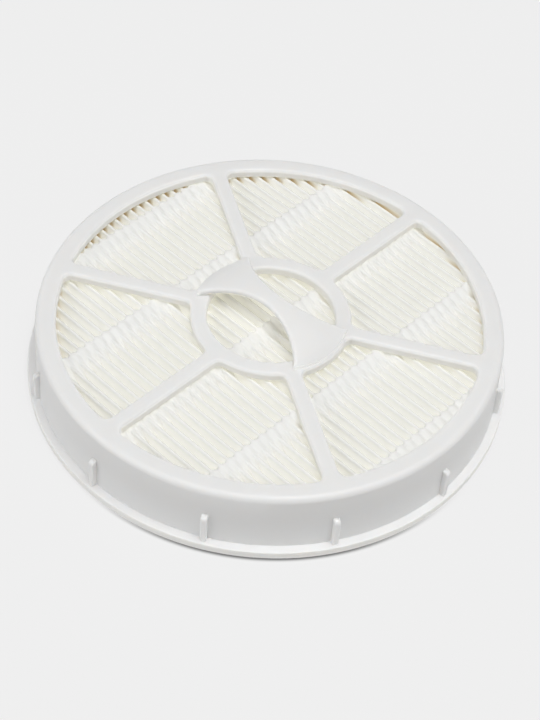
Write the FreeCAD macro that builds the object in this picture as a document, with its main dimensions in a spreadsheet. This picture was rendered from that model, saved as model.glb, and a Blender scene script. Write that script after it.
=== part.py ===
"""Round pleated HEPA filter of a vacuum cleaner, standing on its flange with the grip handle up.

One moulded frame (top ring, spokes, hub, handle, wall, flange and fins) holds a pleated sheet of filter medium.
The sheet is potted into the wall with a ring of sealant, and glue beads across its folds keep the pleats apart.
X runs along two opposite spokes, Y along the pleats and the handle, Z up from the foot of the flange.
"""
import FreeCAD, Part
import math
import os
import Sketcher

Vector = FreeCAD.Vector
doc = FreeCAD.newDocument("vacuum_filter")

# Driving dimensions in millimetres, and counts
SIZES = [
    ("frame_height", 23.4, "foot of the flange to the top face"),
    ("flange_radius", 76.5, "rim of the flange"),
    ("flange_thickness", 2.5, "flange at the foot of the wall"),
    ("flange_round", 0.3, "rounded upper rim of the flange"),
    ("ledge_width", 2.75, "flange beyond the foot of the wall"),
    ("wall_draft", 0.55, "wall's outside drawn in from its foot to the top face"),
    ("wall_thickness", 2.0, "moulded wall at the top face"),
    ("rim_round", 2.0, "rounded edge where the wall meets the top face"),
    ("grille_thickness", 3.0, "top ring, spokes and hub"),
    ("ring_width", 6.4, "top ring, from the wall's top to the windows"),
    ("hub_radius", 25.3, "outside of the hub ring"),
    ("hub_width", 5.2, "hub ring, across"),
    ("spoke_count", 6, "spokes, and windows between them"),
    ("spoke_width", 5.0, "one spoke, across"),
    ("window_corner", 2.5, "corner radius of a window"),
    ("edge_round", 1.0, "rounded upper edge of windows and hub"),
    ("fin_count", 12, "fins round the wall"),
    ("fin_thickness", 2.0, "one fin, along the wall"),
    ("fin_height", 10.7, "fin above the flange"),
    ("fin_setback", 1.1, "fin's outer face inside the flange rim"),
    ("fin_round", 1.5, "rounded outer top corner of a fin"),
    ("fin_edge", 0.6, "rounded long edges of a fin"),
    ("handle_rise", 6.6, "crown of the handle above the top face"),
    ("handle_span", 49.2, "arch of the handle, where it meets the top face"),
    ("handle_thickness", 2.2, "thickness of the arched band"),
    ("handle_waist", 6.0, "width of the handle at its crown"),
    ("handle_round", 0.9, "rounded long edges of the handle"),
    ("seal_width", 1.5, "sealant between the medium and the wall"),
    ("seal_height", 9.0, "sealant up the wall"),
    ("pleat_floor", 2.0, "lower folds above the foot of the flange"),
    ("pleat_pitch", 3.33, "ridge to ridge"),
    ("medium_thickness", 0.45, "folded sheet"),
    ("fold_radius", 0.6, "outside of a fold"),
    ("bead_count", 5, "glue beads on each side of the medium"),
    ("bead_margin", 7.7, "outermost bead from the edge of the medium"),
    ("bead_width", 2.8, "one bead, along the pleats"),
    ("bead_rise", 0.7, "bead above the fold it crosses"),
    ("bead_scallop", 0.45, "dip of the bead between two ridges"),
    ("bead_depth", 2.0, "bead down between two ridges"),
]

sheet = doc.addObject("Spreadsheet::Sheet", "Sizes")
for row, (alias, number, meaning) in enumerate(SIZES, start=1):
    sheet.set(f"A{row}", meaning)
    sheet.set(f"B{row}", str(number))
    sheet.setAlias(f"B{row}", alias)
doc.recompute()

# Sizes that follow from the driving ones, as expressions
GRILLE_UNDERSIDE = "(Sizes.frame_height - Sizes.grille_thickness)"
WALL_FOOT = "(Sizes.flange_radius - Sizes.ledge_width)"
WALL_TOP = f"({WALL_FOOT} - Sizes.wall_draft)"
WALL_INSIDE = f"({WALL_TOP} - Sizes.wall_thickness)"
RING_INSIDE = f"({WALL_TOP} - Sizes.ring_width)"
HUB_INSIDE = "(Sizes.hub_radius - Sizes.hub_width)"
FIN_RADIUS = "(Sizes.flange_radius - Sizes.fin_setback)"
FIN_TOP = "(Sizes.flange_thickness + Sizes.fin_height)"
PACK_RADIUS = f"({WALL_INSIDE} - Sizes.seal_width)"
RIDGE_TOP = f"({GRILLE_UNDERSIDE} - Sizes.bead_rise)"
FOLD_INSIDE = "(Sizes.fold_radius - Sizes.medium_thickness)"
PLEAT_COUNT = f"ceil(2 * {PACK_RADIUS} / Sizes.pleat_pitch)"
PLEAT_START = f"(-{PLEAT_COUNT} * Sizes.pleat_pitch / 2)"
BEAD_SPACING = f"(2 * ({PACK_RADIUS} - Sizes.bead_margin) / (Sizes.bead_count - 1))"

# A bead's scallops are arcs, one over each ridge, that touch the underside of the grille
BEAD_CROWN = GRILLE_UNDERSIDE
BEAD_CUSP = f"({GRILLE_UNDERSIDE} - Sizes.bead_scallop)"
BEAD_ARC = "((Sizes.pleat_pitch ^ 2 / 4 + Sizes.bead_scallop ^ 2) / (2 * Sizes.bead_scallop))"

# The handle's upper face is an arc over its span, and its ends are as wide as the hub between two spokes
HANDLE_ARC = "((Sizes.handle_span ^ 2 / 4 + Sizes.handle_rise ^ 2) / (2 * Sizes.handle_rise))"
HANDLE_FOOT = "(Sizes.frame_height - Sizes.grille_thickness / 2)"
HANDLE_DROP = f"({HANDLE_ARC} - Sizes.handle_rise - Sizes.grille_thickness / 2)"
HANDLE_END = "(Sizes.hub_radius * sin(180 deg / Sizes.spoke_count))"
HANDLE_END_Y = "(Sizes.hub_radius * cos(180 deg / Sizes.spoke_count))"
HANDLE_NECK = f"({HANDLE_END} - Sizes.handle_waist / 2)"
HANDLE_SIDE = f"(({HANDLE_END_Y} ^ 2 + {HANDLE_NECK} ^ 2) / (2 * {HANDLE_NECK}))"


def value(expression):
    """Number that an expression of the sheet gives."""
    return float(sheet.evalExpression(expression))


def new_body(name):
    return doc.addObject("PartDesign::Body", name)


def origin_feature(body, role):
    return next(feature for feature in body.Origin.OriginFeatures if feature.Role == role)


def new_sketch(body, role, name, height="0"):
    """Sketch on one of the body's origin planes, lifted along the plane's normal."""
    sketch = body.newObject("Sketcher::SketchObject", name)
    sketch.AttachmentSupport = [(origin_feature(body, role), "")]
    sketch.MapMode = "FlatFace"
    if height != "0":
        sketch.setExpression("AttachmentOffset.Base.z", height)
    return sketch


def constrain(sketch, kind, *references, size=None):
    """Adds a constraint, bound to an expression of the sheet where it has a size."""
    if size is None:
        sketch.addConstraint(Sketcher.Constraint(kind, *references))
        return
    number = value(size)
    if kind == "Angle":
        number = math.radians(number)
    index = sketch.addConstraint(Sketcher.Constraint(kind, *references, number))
    sketch.setExpression(f"Constraints[{index}]", size)


def place_point(sketch, geometry, end, x, y):
    """Fixes a point of the sketch at the expressions x and y."""
    for kind, size, axis in (("DistanceX", x, -2), ("DistanceY", y, -1)):
        if size == "0":
            constrain(sketch, "PointOnObject", geometry, end, axis)
        else:
            constrain(sketch, kind, -1, 1, geometry, end, size=size)


def add_polygon(sketch, corners):
    """Closed outline of straight lines through corners given as expressions."""
    points = [Vector(value(x), value(y), 0) for x, y in corners]
    count = len(points)
    lines = [sketch.addGeometry(Part.LineSegment(points[i], points[(i + 1) % count])) for i in range(count)]
    for i, (x, y) in enumerate(corners):
        constrain(sketch, "Coincident", lines[i - 1], 2, lines[i], 1)
        place_point(sketch, lines[i], 1, x, y)


def add_arc(sketch, centre, radius, start, end):
    """Arc of a circle, anticlockwise from start to end in radians."""
    circle = Part.Circle(centre, Vector(0, 0, 1), radius)
    return sketch.addGeometry(Part.ArcOfCircle(circle, start, end))


def add_line(sketch, start, end, construction=False):
    return sketch.addGeometry(Part.LineSegment(start, end), construction)


def add_revolution(body, sketch, name):
    turned = body.newObject("PartDesign::Revolution", name)
    turned.Profile = sketch
    turned.ReferenceAxis = (sketch, ["V_Axis"])
    turned.Angle = 360
    return turned


def add_pad(body, sketch, name, length):
    """Extrusion to both sides of the sketch."""
    pad = body.newObject("PartDesign::Pad", name)
    pad.Profile = sketch
    pad.SideType = "Symmetric"
    pad.setExpression("Length", length)
    return pad


def add_polar_pattern(body, feature, axis, name, count):
    pattern = body.newObject("PartDesign::PolarPattern", name)
    pattern.Originals = [feature]
    pattern.Axis = axis
    pattern.Angle = 360
    pattern.setExpression("Occurrences", count)
    body.Tip = pattern
    return pattern


def add_fillet(body, base, name, radius, wanted):
    """Rounds the edges of the last feature for which wanted(edge) is true."""
    doc.recompute()
    edges = [f"Edge{i}" for i, edge in enumerate(base.Shape.Edges, start=1) if wanted(edge)]
    if not edges:
        raise RuntimeError(f"{name}: no edge to round")
    fillet = body.newObject("PartDesign::Fillet", name)
    fillet.Base = (base, edges)
    fillet.setExpression("Radius", radius)
    body.Tip = fillet
    return fillet


def near(a, b):
    return abs(a - b) < 1e-4


def heights(edge):
    return edge.BoundBox.ZMin, edge.BoundBox.ZMax


def middle_radius(edge):
    """Distance of the edge's middle from the filter's axis."""
    middle = edge.valueAt((edge.FirstParameter + edge.LastParameter) / 2)
    return math.hypot(middle.x, middle.y)


def level(edge, height):
    return all(near(z, height) for z in heights(edge))


def make_shell():
    """Wall, flange and full top face, turned about the axis."""
    body = new_body("frame_shell")
    profile = new_sketch(body, "XZ_Plane", "shell_profile")
    add_polygon(profile, [
        (HUB_INSIDE, GRILLE_UNDERSIDE),
        (WALL_INSIDE, GRILLE_UNDERSIDE),
        (WALL_INSIDE, "0"),
        ("Sizes.flange_radius", "0"),
        ("Sizes.flange_radius", "Sizes.flange_thickness"),
        (WALL_FOOT, "Sizes.flange_thickness"),
        (WALL_TOP, "Sizes.frame_height"),
        (HUB_INSIDE, "Sizes.frame_height"),
    ])
    shell = add_revolution(body, profile, "shell")
    return body, shell


def cut_windows(body, shell):
    """Sector windows between the spokes, with rounded corners."""
    sketch = new_sketch(body, "XY_Plane", "window_outline", "Sizes.frame_height")
    half_spoke = value("Sizes.spoke_width") / 2
    outer = value(RING_INSIDE)
    inner = value("Sizes.hub_radius")
    step = 2 * math.pi / value("Sizes.spoke_count")
    outer_start = math.asin(half_spoke / outer)
    inner_start = math.asin(half_spoke / inner)

    def polar(radius, angle):
        return Vector(radius * math.cos(angle), radius * math.sin(angle), 0)

    first_side = add_line(sketch, polar(inner, inner_start), polar(outer, outer_start))
    outer_arc = add_arc(sketch, Vector(), outer, outer_start, step - outer_start)
    second_side = add_line(sketch, polar(outer, step - outer_start), polar(inner, step - inner_start))
    inner_arc = add_arc(sketch, Vector(), inner, inner_start, step - inner_start)
    next_spoke = add_line(sketch, Vector(), polar(outer, step), True)

    constrain(sketch, "Coincident", outer_arc, 3, -1, 1)
    constrain(sketch, "Coincident", inner_arc, 3, -1, 1)
    constrain(sketch, "Coincident", next_spoke, 1, -1, 1)
    constrain(sketch, "PointOnObject", next_spoke, 2, outer_arc)
    constrain(sketch, "Angle", next_spoke, size="360 deg / Sizes.spoke_count")
    constrain(sketch, "Coincident", first_side, 2, outer_arc, 1)
    constrain(sketch, "Coincident", outer_arc, 2, second_side, 1)
    constrain(sketch, "Coincident", second_side, 2, inner_arc, 2)
    constrain(sketch, "Coincident", inner_arc, 1, first_side, 1)
    constrain(sketch, "Horizontal", first_side)
    constrain(sketch, "DistanceY", -1, 1, first_side, 1, size="Sizes.spoke_width / 2")
    constrain(sketch, "Parallel", second_side, next_spoke)
    constrain(sketch, "Distance", -1, 1, second_side, size="Sizes.spoke_width / 2")
    constrain(sketch, "Radius", outer_arc, size=RING_INSIDE)
    constrain(sketch, "Radius", inner_arc, size="Sizes.hub_radius")

    window = body.newObject("PartDesign::Pocket", "window")
    window.Profile = sketch
    window.setExpression("Length", "Sizes.grille_thickness")
    doc.recompute()
    if window.Shape.Volume >= shell.Shape.Volume:
        raise RuntimeError("the window cuts nothing")
    windows = add_polar_pattern(body, window, (sketch, ["N_Axis"]), "windows", "Sizes.spoke_count")

    top = value("Sizes.frame_height")
    underside = value(GRILLE_UNDERSIDE)

    def window_corner(edge):
        low, high = heights(edge)
        return near(low, underside) and near(high, top) and middle_radius(edge) > inner - half_spoke

    corners = add_fillet(body, windows, "window_corners", "Sizes.window_corner", window_corner)

    def upper_edge(edge):
        return level(edge, top) and edge.BoundBox.XMax < outer + half_spoke

    return add_fillet(body, corners, "window_edges", "Sizes.edge_round", upper_edge)


def round_rims(body, base):
    """Rounded top rim of the wall and rounded upper rim of the flange."""
    top = value("Sizes.frame_height")
    wall = value(WALL_TOP)
    rim = add_fillet(body, base, "top_rim", "Sizes.rim_round",
                     lambda edge: level(edge, top) and near(middle_radius(edge), wall))
    ledge = value("Sizes.flange_thickness")
    flange = value("Sizes.flange_radius")
    return add_fillet(body, rim, "flange_rim", "Sizes.flange_round",
                      lambda edge: level(edge, ledge) and near(middle_radius(edge), flange))


def add_fins(body):
    """Upright fins on the flange, each with a rounded outer top corner and rounded long edges."""
    sketch = new_sketch(body, "XZ_Plane", "fin_side")
    root = f"({WALL_INSIDE} + Sizes.wall_thickness / 2)"
    add_polygon(sketch, [
        (root, "Sizes.flange_thickness / 2"),
        (FIN_RADIUS, "Sizes.flange_thickness / 2"),
        (FIN_RADIUS, FIN_TOP),
        (root, FIN_TOP),
    ])
    fin = add_pad(body, sketch, "fin", "Sizes.fin_thickness")
    fins = add_polar_pattern(body, fin, (sketch, ["V_Axis"]), "fins", "Sizes.fin_count")
    top = value(FIN_TOP)
    outside = value(FIN_RADIUS)
    corners = add_fillet(body, fins, "fin_corners", "Sizes.fin_round",
                         lambda edge: level(edge, top) and near(middle_radius(edge), outside))
    ledge = value("Sizes.flange_thickness")
    wall = value(WALL_FOOT)
    side = value("Sizes.fin_thickness") / 2

    def long_edge(edge):
        low, high = heights(edge)
        first, last = (math.atan2(vertex.Y, vertex.X) for vertex in (edge.Vertexes[0], edge.Vertexes[-1]))
        one_side = abs(math.remainder(first - last, math.tau)) * wall < side
        return one_side and ledge - 1e-4 < low and high > ledge + 1e-4 and middle_radius(edge) > wall

    return add_fillet(body, corners, "fin_edges", "Sizes.fin_edge", long_edge)


def make_handle():
    """Arched band over the hub, waisted in plan, with its ends as wide as the hub between two spokes."""
    body = new_body("handle_arch")
    sketch = new_sketch(body, "YZ_Plane", "arch_side")
    top = value("Sizes.frame_height")
    foot = value(HANDLE_FOOT)
    upper = value(HANDLE_ARC)
    lower = upper - value("Sizes.handle_thickness")
    centre = Vector(0, top + value("Sizes.handle_rise") - upper, 0)
    upper_end = math.sqrt(upper ** 2 - (foot - centre.y) ** 2)
    lower_end = math.sqrt(lower ** 2 - (foot - centre.y) ** 2)
    upper_angle = math.atan2(foot - centre.y, upper_end)
    lower_angle = math.atan2(foot - centre.y, lower_end)

    # Both arcs run on through the top face and end inside the hub ring
    upper_arc = add_arc(sketch, centre, upper, upper_angle, math.pi - upper_angle)
    left_foot = add_line(sketch, Vector(-upper_end, foot, 0), Vector(-lower_end, foot, 0))
    lower_arc = add_arc(sketch, centre, lower, lower_angle, math.pi - lower_angle)
    right_foot = add_line(sketch, Vector(lower_end, foot, 0), Vector(upper_end, foot, 0))

    constrain(sketch, "Coincident", upper_arc, 2, left_foot, 1)
    constrain(sketch, "Coincident", left_foot, 2, lower_arc, 2)
    constrain(sketch, "Coincident", lower_arc, 1, right_foot, 1)
    constrain(sketch, "Coincident", right_foot, 2, upper_arc, 1)
    constrain(sketch, "Coincident", lower_arc, 3, upper_arc, 3)
    constrain(sketch, "PointOnObject", upper_arc, 3, -2)
    constrain(sketch, "Horizontal", left_foot)
    constrain(sketch, "Horizontal", right_foot)
    constrain(sketch, "Radius", upper_arc, size=HANDLE_ARC)
    constrain(sketch, "Radius", lower_arc, size=f"{HANDLE_ARC} - Sizes.handle_thickness")
    constrain(sketch, "DistanceY", -1, 1, left_foot, 1, size=HANDLE_FOOT)
    constrain(sketch, "DistanceY", -1, 1, right_foot, 1, size=HANDLE_FOOT)
    constrain(sketch, "DistanceY", upper_arc, 3, right_foot, 2, size=HANDLE_DROP)
    arch = add_pad(body, sketch, "arch", f"2 * {HANDLE_END}")

    # Each long side is hollowed by a large round cut that leaves the waist
    side = new_sketch(body, "XY_Plane", "side_cut", "Sizes.frame_height + 2 * Sizes.handle_rise")
    radius = value(HANDLE_SIDE)
    away = value("Sizes.handle_waist") / 2 + radius
    circle = side.addGeometry(Part.Circle(Vector(away, 0, 0), Vector(0, 0, 1), radius))
    constrain(side, "PointOnObject", circle, 3, -1)
    constrain(side, "DistanceX", -1, 1, circle, 3, size=f"Sizes.handle_waist / 2 + {HANDLE_SIDE}")
    constrain(side, "Radius", circle, size=HANDLE_SIDE)
    hollow = body.newObject("PartDesign::Pocket", "side_hollow")
    hollow.Profile = side
    hollow.Type = "ThroughAll"
    doc.recompute()
    if hollow.Shape.Volume >= arch.Shape.Volume:
        raise RuntimeError("the handle's side cut removes nothing")
    waist = body.newObject("PartDesign::Mirrored", "waist")
    waist.Originals = [hollow]
    waist.MirrorPlane = (side, ["V_Axis"])
    body.Tip = waist

    crown_end = value("Sizes.handle_waist")

    def long_edge(edge):
        low, high = heights(edge)
        return high > top + value("Sizes.handle_rise") / 2 and edge.BoundBox.YLength > crown_end

    add_fillet(body, waist, "handle_edges", "Sizes.handle_round", long_edge)

    # The ends stop at the hub's rounded outer edge
    reach = doc.addObject("Part::Cylinder", "handle_reach")
    reach.setExpression("Radius", "Sizes.hub_radius - Sizes.edge_round")
    reach.setExpression("Height", "Sizes.frame_height + 2 * Sizes.handle_rise")
    handle = doc.addObject("Part::Common", "handle")
    handle.Base = body
    handle.Tool = reach
    return handle


def make_frame():
    """The whole moulding: shell, windows, fins and handle as one solid."""
    body, shell = make_shell()
    base = cut_windows(body, shell)
    round_rims(body, base)
    add_fins(body)
    frame = doc.addObject("Part::Fuse", "frame_moulding")
    frame.Base = body
    frame.Tool = make_handle()
    frame.Label = "filter_frame"
    return frame


def fold_points():
    """Centres of the folds of one pleat, and the lean of its flanks from upright."""
    pitch = value("Sizes.pleat_pitch")
    outside = value("Sizes.fold_radius")
    inside = value(FOLD_INSIDE)
    valley = Vector(0, value("Sizes.pleat_floor") + outside, 0)
    ridge = Vector(pitch / 2, value(RIDGE_TOP) - outside, 0)
    across = ridge - valley
    lean = math.acos((outside + inside) / across.Length) - math.atan2(across.y, across.x)
    return valley, ridge, lean


def draw_pleat(sketch):
    """Section of one pleat of the sheet, from valley to valley, with tangent round folds."""
    pitch = value("Sizes.pleat_pitch")
    outside = value("Sizes.fold_radius")
    inside = value(FOLD_INSIDE)
    valley, ridge, lean = fold_points()
    next_valley = valley + Vector(pitch, 0, 0)
    right = Vector(math.cos(lean), math.sin(lean), 0)
    left = Vector(-right.x, right.y, 0)
    down = -math.pi / 2

    valley_under = add_arc(sketch, valley, outside, down, -lean)
    rise_under = add_line(sketch, valley - left * outside, ridge + left * inside)
    ridge_under = add_arc(sketch, ridge, inside, lean, math.pi - lean)
    fall_under = add_line(sketch, ridge + right * inside, next_valley - right * outside)
    end_under = add_arc(sketch, next_valley, outside, math.pi + lean, 3 * math.pi / 2)
    end_upper = add_arc(sketch, next_valley, inside, math.pi + lean, 3 * math.pi / 2)
    fall_upper = add_line(sketch, next_valley - right * inside, ridge + right * outside)
    ridge_upper = add_arc(sketch, ridge, outside, lean, math.pi - lean)
    rise_upper = add_line(sketch, ridge + left * outside, valley - left * inside)
    valley_upper = add_arc(sketch, valley, inside, down, -lean)
    thickness = Vector(0, value("Sizes.medium_thickness"), 0)
    foot = Vector(0, value("Sizes.pleat_floor"), 0)
    end_foot = foot + Vector(pitch, 0, 0)
    last_end = add_line(sketch, end_foot, end_foot + thickness)
    first_end = add_line(sketch, foot + thickness, foot)

    for first, first_end_point, second, second_end_point in (
            (valley_under, 2, rise_under, 1), (rise_under, 2, ridge_under, 2),
            (ridge_under, 1, fall_under, 1), (fall_under, 2, end_under, 1),
            (end_upper, 1, fall_upper, 1), (fall_upper, 2, ridge_upper, 1),
            (ridge_upper, 2, rise_upper, 1), (rise_upper, 2, valley_upper, 2)):
        constrain(sketch, "Tangent", first, first_end_point, second, second_end_point)
    for first, first_end_point, second, second_end_point in (
            (end_under, 2, last_end, 1), (last_end, 2, end_upper, 2),
            (valley_upper, 1, first_end, 1), (first_end, 2, valley_under, 1),
            (valley_upper, 3, valley_under, 3), (ridge_upper, 3, ridge_under, 3), (end_upper, 3, end_under, 3)):
        constrain(sketch, "Coincident", first, first_end_point, second, second_end_point)
    constrain(sketch, "Radius", valley_under, size="Sizes.fold_radius")
    constrain(sketch, "Equal", valley_under, ridge_upper)
    constrain(sketch, "Equal", valley_under, end_under)
    constrain(sketch, "Radius", ridge_under, size=FOLD_INSIDE)
    constrain(sketch, "Equal", ridge_under, valley_upper)
    constrain(sketch, "Equal", ridge_under, end_upper)
    place_point(sketch, valley_under, 3, "0", "Sizes.pleat_floor + Sizes.fold_radius")
    place_point(sketch, ridge_upper, 3, "Sizes.pleat_pitch / 2", f"{RIDGE_TOP} - Sizes.fold_radius")
    place_point(sketch, end_under, 3, "Sizes.pleat_pitch", "Sizes.pleat_floor + Sizes.fold_radius")
    constrain(sketch, "PointOnObject", valley_under, 1, -2)
    constrain(sketch, "PointOnObject", valley_upper, 1, -2)
    constrain(sketch, "Vertical", end_under, 2, end_under, 3)
    constrain(sketch, "Vertical", end_upper, 2, end_upper, 3)


def repeat_pleats(body, feature, sketch, name):
    """Repeats one pleat's worth of a piece across the pack."""
    pattern = body.newObject("PartDesign::LinearPattern", name)
    pattern.Originals = [feature]
    pattern.Direction = (sketch, ["H_Axis"])
    pattern.Mode = "Spacing"
    pattern.setExpression("Offset", "Sizes.pleat_pitch")
    pattern.setExpression("Occurrences", PLEAT_COUNT)
    body.Tip = pattern
    body.setExpression("Placement.Base.x", PLEAT_START)
    return pattern


def make_pack_outline():
    """Round outline to which the sheet and its beads are cut."""
    outline = doc.addObject("Part::Cylinder", "pack_outline")
    outline.setExpression("Radius", PACK_RADIUS)
    outline.setExpression("Height", "Sizes.frame_height")
    return outline


def make_pleats(outline):
    body = new_body("pleated_sheet")
    sketch = new_sketch(body, "XZ_Plane", "pleat_section")
    draw_pleat(sketch)
    pleat = add_pad(body, sketch, "pleat", f"2 * {PACK_RADIUS} + Sizes.bead_width")
    repeat_pleats(body, pleat, sketch, "pleats")
    pack = doc.addObject("Part::Common", "pleat_disc")
    pack.Base = body
    pack.Tool = outline
    pack.Label = "pleat_pack"
    return pack


def draw_bead(sketch):
    """Section of a bead over one pleat: a scallop over the ridge and half a tooth in the gap on each side."""
    pitch = value("Sizes.pleat_pitch")
    outside = value("Sizes.fold_radius")
    inside = value(FOLD_INSIDE)
    ridge_top = value(RIDGE_TOP)
    tooth = ridge_top - value("Sizes.bead_depth")
    cusp = value(BEAD_CUSP)
    crown = value(BEAD_ARC)
    valley, ridge, lean = fold_points()
    start = ridge + Vector(-math.cos(lean), math.sin(lean), 0) * outside

    def flank(height):
        return Vector(start.x + (height - start.y) * math.tan(lean), height, 0)

    def mirrored(point):
        return Vector(pitch - point.x, point.y, 0)

    outline = [Vector(0, cusp, 0), Vector(0, tooth, 0), flank(tooth), flank(ridge_top)]
    outline += [mirrored(point) for point in reversed(outline)]
    lines = [add_line(sketch, a, b) for a, b in zip(outline, outline[1:])]
    first_end, first_foot, rise, seat, fall, last_foot, last_end = lines
    centre = Vector(pitch / 2, value(BEAD_CROWN) - crown, 0)
    half_angle = math.asin(pitch / 2 / crown)
    scallop = add_arc(sketch, centre, crown, math.pi / 2 - half_angle, math.pi / 2 + half_angle)
    ridge_fold = sketch.addGeometry(Part.Circle(ridge, Vector(0, 0, 1), outside), True)
    valley_fold = sketch.addGeometry(Part.Circle(valley, Vector(0, 0, 1), inside), True)
    middle = add_line(sketch, Vector(pitch / 2, 0, 0), Vector(pitch / 2, ridge_top, 0), True)

    for first, second in zip(lines, lines[1:]):
        constrain(sketch, "Coincident", first, 2, second, 1)
    constrain(sketch, "Coincident", last_end, 2, scallop, 1)
    constrain(sketch, "Coincident", scallop, 2, first_end, 1)
    place_point(sketch, ridge_fold, 3, "Sizes.pleat_pitch / 2", f"{RIDGE_TOP} - Sizes.fold_radius")
    constrain(sketch, "Radius", ridge_fold, size="Sizes.fold_radius")
    place_point(sketch, valley_fold, 3, "0", "Sizes.pleat_floor + Sizes.fold_radius")
    constrain(sketch, "Radius", valley_fold, size=FOLD_INSIDE)
    place_point(sketch, middle, 1, "Sizes.pleat_pitch / 2", "0")
    place_point(sketch, middle, 2, "Sizes.pleat_pitch / 2", RIDGE_TOP)
    place_point(sketch, first_end, 1, "0", BEAD_CUSP)
    place_point(sketch, first_end, 2, "0", f"{RIDGE_TOP} - Sizes.bead_depth")
    constrain(sketch, "Horizontal", first_foot)
    constrain(sketch, "Tangent", rise, ridge_fold)
    constrain(sketch, "Tangent", rise, valley_fold)
    constrain(sketch, "DistanceY", -1, 1, rise, 2, size=RIDGE_TOP)
    for left_line, left_point, right_line, right_point in (
            (first_end, 1, last_end, 2), (first_end, 2, last_end, 1), (rise, 1, fall, 2), (rise, 2, fall, 1)):
        constrain(sketch, "Symmetric", left_line, left_point, right_line, right_point, middle)
    constrain(sketch, "Radius", scallop, size=BEAD_ARC)


def make_bead_strip():
    """Glue bead over the full width of the pack."""
    body = new_body("bead_strip")
    sketch = new_sketch(body, "XZ_Plane", "bead_section")
    draw_bead(sketch)
    drop = add_pad(body, sketch, "bead_drop", "Sizes.bead_width")
    repeat_pleats(body, drop, sketch, "bead_drops")
    return body


def bead_offset(number):
    """Place of a bead along the pleats, the beads being spread evenly about the middle."""
    return f"(({number} - (Sizes.bead_count + 1) / 2) * {BEAD_SPACING})"


def make_upper_bead(number, strip, outline):
    """Bead across the upper ridges, cut to the pack's outline."""
    laid = doc.addObject("App::Link", f"laid_strip_{number}")
    laid.LinkedObject = strip
    laid.LinkTransform = True
    laid.setExpression("Placement.Base.y", bead_offset(number))
    bead = doc.addObject("Part::Common", f"upper_bead_cut_{number}")
    bead.Base = laid
    bead.Tool = outline
    bead.Label = f"upper_bead_{number}"
    return bead


def make_lower_bead(number, outline):
    """Plain glue bead across the lower folds, cut to the pack's outline."""
    strip = doc.addObject("Part::Box", f"lower_strip_{number}")
    strip.setExpression("Length", f"2 * {PACK_RADIUS}")
    strip.setExpression("Width", "Sizes.bead_width")
    strip.setExpression("Height", "Sizes.bead_rise")
    strip.setExpression("Placement.Base.x", f"-{PACK_RADIUS}")
    strip.setExpression("Placement.Base.y", f"{bead_offset(number)} - Sizes.bead_width / 2")
    strip.setExpression("Placement.Base.z", "Sizes.pleat_floor - Sizes.bead_rise")
    bead = doc.addObject("Part::Common", f"lower_bead_cut_{number}")
    bead.Base = strip
    bead.Tool = outline
    bead.Label = f"lower_bead_{number}"
    return bead


def make_sealant():
    """Ring of potting compound between the sheet's cut edge and the wall."""
    body = new_body("sealant_ring")
    section = new_sketch(body, "XZ_Plane", "sealant_section")
    top = "Sizes.pleat_floor + Sizes.seal_height"
    add_polygon(section, [
        (PACK_RADIUS, "Sizes.pleat_floor"),
        (WALL_INSIDE, "Sizes.pleat_floor"),
        (WALL_INSIDE, top),
        (PACK_RADIUS, top),
    ])
    add_revolution(body, section, "sealant")
    body.Label = "edge_sealant"
    return body


def make_parts():
    """Every sub-part of the filter."""
    outline = make_pack_outline()
    strip = make_bead_strip()
    numbers = range(1, int(value("Sizes.bead_count")) + 1)
    parts = [make_frame(), make_pleats(outline), make_sealant()]
    parts += [make_upper_bead(number, strip, outline) for number in numbers]
    parts += [make_lower_bead(number, outline) for number in numbers]
    doc.recompute()
    return parts


def check(parts):
    """Stops where a feature failed or a sub-part is not one sound solid."""
    for item in doc.Objects:
        if "Invalid" in item.State or "Error" in item.State:
            raise RuntimeError(f"{item.Label} failed: {item.State}")
    for part in parts:
        shape = part.Shape
        if shape.isNull() or not shape.isValid() or len(shape.Solids) != 1:
            raise RuntimeError(f"{part.Label} is not one sound solid")


parts = make_parts()
check(parts)
os.makedirs("parts", exist_ok=True)
for part in parts:
    part.Shape.exportStep(f"parts/{part.Label}.step")
    print(f"{part.Label}: {part.Shape.Volume / 1000:.2f} cm3")
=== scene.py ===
"""Looks of a round pleated vacuum filter: moulded white frame, folded filter medium, glue beads and sealant.

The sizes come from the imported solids, in metres: X along two opposite spokes, Y along the pleats, Z up.
"""

import math

import bmesh
import bpy
from bpy.props import FloatProperty, FloatVectorProperty, IntProperty, PointerProperty
from mathutils import Matrix, Vector


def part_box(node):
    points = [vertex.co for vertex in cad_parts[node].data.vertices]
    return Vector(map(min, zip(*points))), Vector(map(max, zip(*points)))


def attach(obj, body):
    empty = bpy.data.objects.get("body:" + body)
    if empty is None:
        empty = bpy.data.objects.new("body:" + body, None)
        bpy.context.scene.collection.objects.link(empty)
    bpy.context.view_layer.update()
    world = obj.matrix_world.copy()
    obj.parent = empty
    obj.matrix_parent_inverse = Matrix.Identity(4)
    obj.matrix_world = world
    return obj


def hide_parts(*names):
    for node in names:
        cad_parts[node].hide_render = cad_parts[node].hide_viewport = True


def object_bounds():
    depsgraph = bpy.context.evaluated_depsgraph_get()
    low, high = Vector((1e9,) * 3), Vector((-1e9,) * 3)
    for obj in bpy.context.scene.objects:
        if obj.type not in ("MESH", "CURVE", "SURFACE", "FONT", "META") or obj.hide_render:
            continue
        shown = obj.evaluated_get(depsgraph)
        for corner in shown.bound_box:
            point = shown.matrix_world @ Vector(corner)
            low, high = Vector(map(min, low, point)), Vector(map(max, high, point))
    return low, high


bl_info = {
    "name": "Pleated Filter",
    "version": (1, 0, 0),
    "blender": (4, 2, 0),
    "location": "View3D > Sidebar > Filter",
    "description": "Builds the looks of a round pleated vacuum filter on its solids",
    "category": "Add Mesh",
}

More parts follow.
